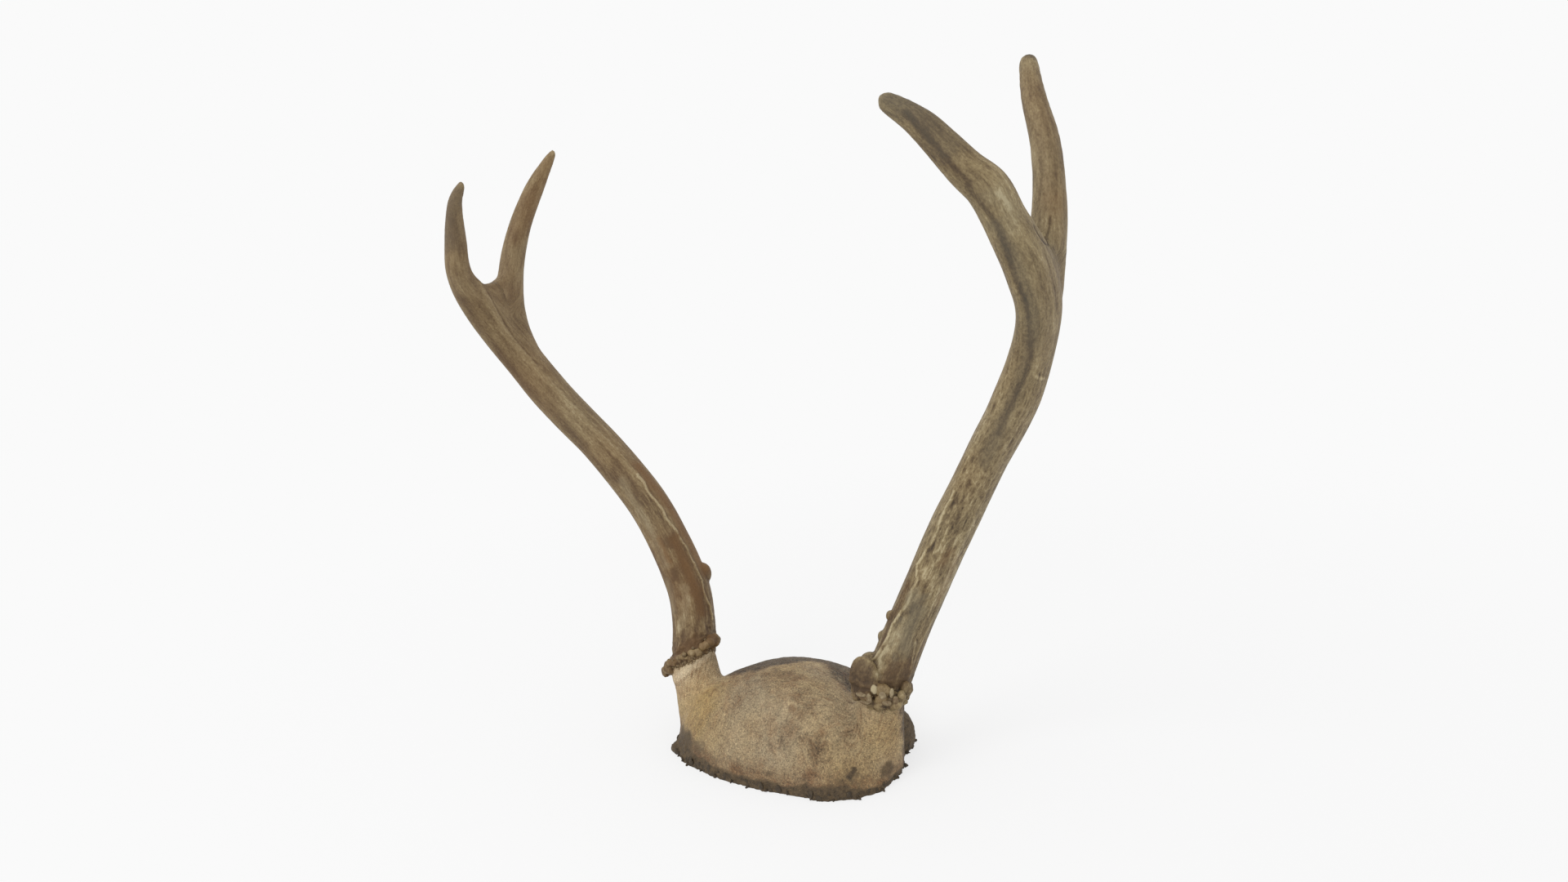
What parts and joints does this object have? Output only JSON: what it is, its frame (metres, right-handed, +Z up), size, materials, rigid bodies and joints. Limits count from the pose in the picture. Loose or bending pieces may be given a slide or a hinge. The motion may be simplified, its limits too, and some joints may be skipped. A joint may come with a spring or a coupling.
{
  "type": "antler pair on skull plate",
  "caption": "Pair of forked deer antlers with knobbly burrs, grown on a sawn skull plate that stands on its flat cut face.",
  "frame": {"origin": "on the ground under the middle of the whole object, in the plane of the sawn face", "axes": "+Z up from the sawn face, -Y the brow side of the skull, +X towards the antler on the right as seen from the brow"},
  "size_m": [0.2097, 0.0703, 0.2053],
  "materials": {
    "skull_bone": "matt weathered bone, yellow tan to grey",
    "antler": "matt grey-brown antler with pale streaks"
  },
  "bodies": {
    "root": {"skull_plate": "skull_bone", "right_beam": "antler", "right_rear_tine": "antler", "left_beam": "antler", "left_rear_tine": "antler"}
  },
  "joints": []
}
